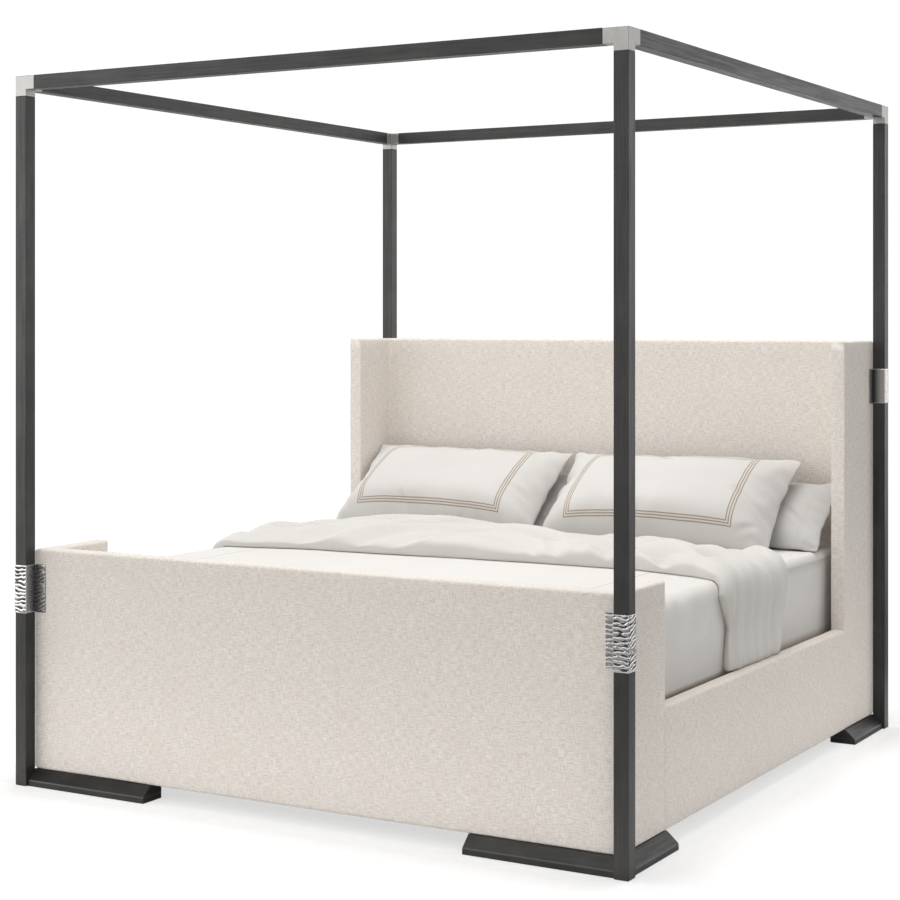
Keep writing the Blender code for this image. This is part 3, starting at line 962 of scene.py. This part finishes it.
def lean(piece, node, flat, front, back, sag, twist, bow, slump):
    """Moves a filled case from the origin to where it leans in the bed.

    Its front and back swell by those amounts, the filling sinks by sag towards the foot
    seam, twist turns it in its own plane, bow bends its ends back, and slump is the share
    of its length that its head has sunk by.
    """
    low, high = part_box(node)
    foot = Vector((0, low.y + CASE_RIM, low.z + CASE_RIM))
    head = Vector((0, high.y - CASE_RIM, high.z - CASE_RIM))
    slope = (head - foot).normalized()
    normal = Vector((0, -slope.z, slope.y))
    middle = (foot + head) / 2
    middle.x = (low.x + high.x) / 2
    points = points_of(piece)
    reach = np.abs(points).max(axis=0)
    shares = points / np.maximum(reach, 1e-6)
    # The seams keep most of their cut line, and the pinches along them are pressed out
    cut = np.array([(u / CASE[0], v / CASE[1]) for u, v, _ in flat]) * 2
    shares[:, :2] += CUT_HELD * (cut - shares[:, :2])
    seam = np.abs(cut).max(axis=1) > 0.999
    one, other = np.array([edge.vertices[:] for edge in piece.data.edges]).T
    count = np.bincount(np.concatenate((one, other)))
    for _ in range(SOFTENED):
        total = np.bincount(one, shares[other, 2]) + np.bincount(other, shares[one, 2])
        shares[:, 2] = np.where(seam, 0.0, (shares[:, 2] + total / count) / 2)
    shares[:, 2] /= np.abs(shares[:, 2]).max()
    half_length = (head - foot).length / 2
    half_width = (high.x - low.x) / 2
    for index, (a, b, c) in enumerate(shares):
        full = math.copysign(1 - (1 - abs(c)) ** 1.6, c)
        fat = (front if c > 0 else back) * full * (1 - sag * b)
        sunk = slump * (1 + b) * (1 + 0.35 * a * a)
        along = half_length * (b - sag * 0.16 * (1 - b * b) - sunk) + twist * a
        lift = fat - bow * a * a
        place = middle + slope * along + normal * lift
        points[index] = (place.x + half_width * a, place.y, place.z)
    set_points(piece, points)


def crumple(piece, seed, flat, creases):
    """Shallow folds in the filled case, crinkled corners, and the creases given.

    A crease is its two ends on the flat case, its depth and its half width.
    """
    points = points_of(piece)
    normals = np.array([vert.normal[:] for vert in piece.data.vertices])
    half_u, half_v = CASE[0] / 2, CASE[1] / 2
    for index, (u, v, side) in enumerate(flat):
        p = Vector(points[index])
        ridge = 1 - abs(noise.noise(Vector((p.x * 5 + seed, p.y * 9, p.z * 7)))) * 2
        soft = noise.noise(Vector((p.x * 11, p.y * 8 + seed, p.z * 12)))
        out = FOLD_HEIGHT * (0.9 * max(0.0, ridge - 0.45) + 0.55 * soft)
        near_end = smooth_step(0.72, 1.0, abs(u) / half_u)
        near_seam = smooth_step(0.70, 1.0, abs(v) / half_v)
        crinkle = noise.noise(Vector((u * 17 + seed, v * 21, side * 5.0)))
        fan = noise.noise(Vector((v * 17 + u * 6, seed, side * 2.0))) * near_end
        fan += 0.6 * noise.noise(Vector((u * 14, seed + 4.0, side * 2.0))) * near_seam
        out += CORNER_CRINKLE * crinkle * near_end * near_seam + SEAM_FAN * fan
        if side > 0:
            for (u0, v0), (u1, v1), depth, width in creases:
                line = Vector((u1 - u0, v1 - v0))
                t = min(1.0, max(0.0, Vector((u - u0, v - v0)).dot(line) / line.length_squared))
                gap = Vector((u - u0 - line.x * t, v - v0 - line.y * t)).length
                fade = math.sin(math.pi * min(1.0, 0.15 + 0.85 * t))
                out -= depth * fade * math.exp(-(gap / width) ** 2)
                out += 0.5 * depth * fade * math.exp(-((gap - 2 * width) / width) ** 2)
        points[index] += normals[index] * out
    set_points(piece, points)


def settle_on_bed(piece, level):
    """Flattens what would sink below the mattress's top."""
    points = points_of(piece)
    points[:, Z] = np.maximum(points[:, Z], level)
    set_points(piece, points)


def press_behind(piece, sham):
    """Pushes a pillow towards the headboard wherever it would enter the sham before it."""
    verts = [vert.co[:] for vert in sham.data.vertices]
    faces = [face.vertices[:] for face in sham.data.polygons]
    wall = BVHTree.FromPolygons(verts, faces)
    points = points_of(piece)
    behind, forwards = Vector((0, 0.5, 0)), Vector((0, -1, 0))
    for index, point in enumerate(points):
        hit = wall.ray_cast(Vector(point) + behind, forwards, 0.6)[0]
        if hit:
            points[index, Y] = max(points[index, Y], hit.y + SHAM_CLEARANCE)
    set_points(piece, points)


def make_pillows():
    """Two back pillows and the two bordered shams that lean on them."""
    border = white_cotton("sham_cotton", (0.855, 0.853, 0.853), lines=stitched_border(0.322, 0.188))
    # The back pillows' cotton is painted grey: painted shade, as they lie in shade behind the shams.
    plain = white_cotton("pillow_cotton_painted_shade", (0.76, 0.762, 0.770), lines=hem_lines((0.388, 0.397), 0.0018))
    pillow = {"front": 0.040, "back": 0.076, "sag": 0.18, "twist": 0.0, "bow": 0.010, "slump": 0.05}
    sham = {"front": 0.112, "back": 0.036, "sag": 0.30, "slump": 0.0}
    cases = {
        "pillow_left": (plain, pillow, ()),
        "pillow_right": (plain, pillow, (((0.30, 0.02), (0.44, -0.16), 0.008, 0.010),)),
        "sham_left": (border, dict(sham, twist=-0.004, bow=0.020), (
            ((-0.13, -0.17), (-0.10, -0.25), 0.009, 0.009),
            ((0.06, -0.19), (0.08, -0.25), 0.006, 0.009),
            ((0.33, -0.05), (0.45, -0.10), 0.008, 0.012))),
        "sham_right": (border, dict(sham, twist=0.004, bow=0.026), (
            ((0.32, -0.02), (0.46, -0.13), 0.013, 0.013),
            ((0.36, -0.22), (0.44, -0.17), 0.008, 0.010))),
    }
    made = {}
    for seed, (name, (cotton, shape, creases)) in enumerate(cases.items()):
        piece, flat = filled_case(name, 3.0 + 1.7 * seed, cotton)
        lean(piece, name, flat, **shape)
        crumple(piece, 2.0 + seed, flat, creases)
        add_subdivision(piece)
        settle_on_bed(piece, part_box("mattress")[1].z + BED_CLEARANCE)
        0.6 if "sham" in name else 0.5
        made[name] = piece
    for side in ("left", "right"):
        press_behind(made[f"pillow_{side}"], made[f"sham_{side}"])


# ---------------------------------------------------------------- timber and metal

def paint(material, *prefixes):
    """Gives the material to the CAD solids whose names begin like that."""
    for name, item in nodes.items():
        if name.startswith(prefixes):
            item.data.materials.clear()
            item.data.materials.append(material)


def make_timber_and_metal():
    paint(charcoal_oak("charcoal_oak_upright", Z), "post_front", "post_back")
    across = charcoal_oak("charcoal_oak_across", X)
    along = charcoal_oak("charcoal_oak_along", Y)
    paint(across, "canopy_rail_front", "canopy_rail_back")
    paint(along, "canopy_rail_left", "canopy_rail_right")
    # The foot bars carry a painted highlight along the edge at the top of their lip.
    paint(charcoal_oak("charcoal_oak_foot_across", X, FOOT_BAR_LIP, 0.6), "foot_bar_across")
    paint(charcoal_oak("charcoal_oak_foot_along", Y, FOOT_BAR_LIP, 0.6), "foot_bar_along")
    paint(satin_nickel(), "corner_bracket")
    paint(sanded_pine(), "slat_", "centre_beam", "beam_leg")
    paint(zinc_plate(), "splice_plate")


# ---------------------------------------------------------------- studio

# Soft boxes round the bed: bearing from the foot end, distance, height and power
PANELS = (
    (0, 7.5, 2.0, 60), (45, 7.5, 2.0, 60), (90, 7.5, 2.0, 15), (135, 7.5, 2.0, 100),
    (180, 7.5, 2.0, 130), (225, 7.5, 2.0, 90), (270, 7.5, 2.0, 150), (315, 7.5, 2.0, 190),
    (0, 6.0, 6.0, 115), (90, 6.0, 6.0, 80), (180, 6.0, 6.0, 60), (0, 0.0, 6.5, 345),
)
PANEL_SIZE = (5.8, 4.4)
AIM = Vector((0, 0, 0.8))
FLOOR_HALF = 9
FLOOR_HEIGHT = -0.0005    # a hair under the feet
SKY = 0.12                # light of the room round the soft boxes
BACKDROP = 1.05           # brightness of the white behind the bed


def make_studio():
    """A pale floor that runs out into white, under soft boxes."""
    bm = bmesh.new()
    bmesh.ops.create_grid(bm, x_segments=1, y_segments=1, size=FLOOR_HALF)
    mesh = bpy.data.meshes.new("studio_floor")
    bm.to_mesh(mesh)
    bm.free()
    floor = bpy.data.objects.new("studio_floor", mesh)
    floor.location.z = FLOOR_HEIGHT
    bpy.context.scene.collection.objects.link(floor)
    finish = Finish("floor_white", Roughness=0.9, Base_Color=(0.98, 0.98, 0.98, 1), Specular_IOR_Level=0.0)
    x, y, _ = finish.parts(finish.place())
    away = (abs(x) - cad_box[1].x).at_least(abs(y) - cad_box[1].y)
    # Under the bed the floor is partly see-through to the bright backdrop: painted light that lifts the
    # shadow there.
    under = (1 - away.rise(-0.06, 0.10)) * 0.60
    finish.see_through(away.rise(0.15, 1.5).at_least(under))
    mesh.materials.append(finish.material)

    world = bpy.data.worlds.new("studio")
    world.use_nodes = True
    tree = world.node_tree
    sky = tree.nodes["Background"]
    sky.inputs["Strength"].default_value = SKY
    seen = tree.nodes.new("ShaderNodeBackground")
    for background in (sky, seen):
        background.inputs["Color"].default_value = (1, 1, 1, 1)
    seen.inputs["Strength"].default_value = BACKDROP
    rays = tree.nodes.new("ShaderNodeLightPath")
    mix = tree.nodes.new("ShaderNodeMixShader")
    tree.links.new(rays.outputs["Is Camera Ray"], mix.inputs[0])
    tree.links.new(sky.outputs[0], mix.inputs[1])
    tree.links.new(seen.outputs[0], mix.inputs[2])
    tree.links.new(mix.outputs[0], tree.nodes["World Output"].inputs[0])
    bpy.context.scene.world = world
    bpy.context.scene.view_settings.view_transform = "Standard"

    for bearing, distance, height, power in PANELS:
        light = bpy.data.lights.new("soft_box", "AREA")
        light.shape = "RECTANGLE"
        light.size, light.size_y = PANEL_SIZE
        light.energy = power
        turn = math.radians(bearing)
        place = Vector((distance * math.sin(turn), -distance * math.cos(turn), height))
        item = bpy.data.objects.new("soft_box", light)
        item.location = place
        item.rotation_euler = (AIM - place).to_track_quat("-Z", "Y").to_euler()
        bpy.context.scene.collection.objects.link(item)


# Where the camera stands from the bed's right side, its foot end and the floor, and its turn
EYE_BESIDE, EYE_BEFORE, EYE_HEIGHT = 2.173, 4.721, 1.498
EYE_TURN = 29.98


def make_camera():
    """A level camera off the right foot corner, shifted down to frame the bed."""
    camera = bpy.data.cameras.new("camera")
    camera.lens = 77.6
    camera.sensor_width = 36.0
    camera.shift_y = -0.1439
    item = bpy.data.objects.new("camera", camera)
    half = (cad_box[1] - cad_box[0]) / 2
    item.location = (half.x + EYE_BESIDE, -half.y - EYE_BEFORE, EYE_HEIGHT)
    item.rotation_euler = (math.radians(90), 0, math.radians(EYE_TURN))
    bpy.context.scene.collection.objects.link(item)
    bpy.context.scene.camera = item


make_camera()
make_studio()
make_timber_and_metal()
make_clamps()
make_padded_box()
make_mattress()
make_top_sheet()
make_duvet()
make_pillows()
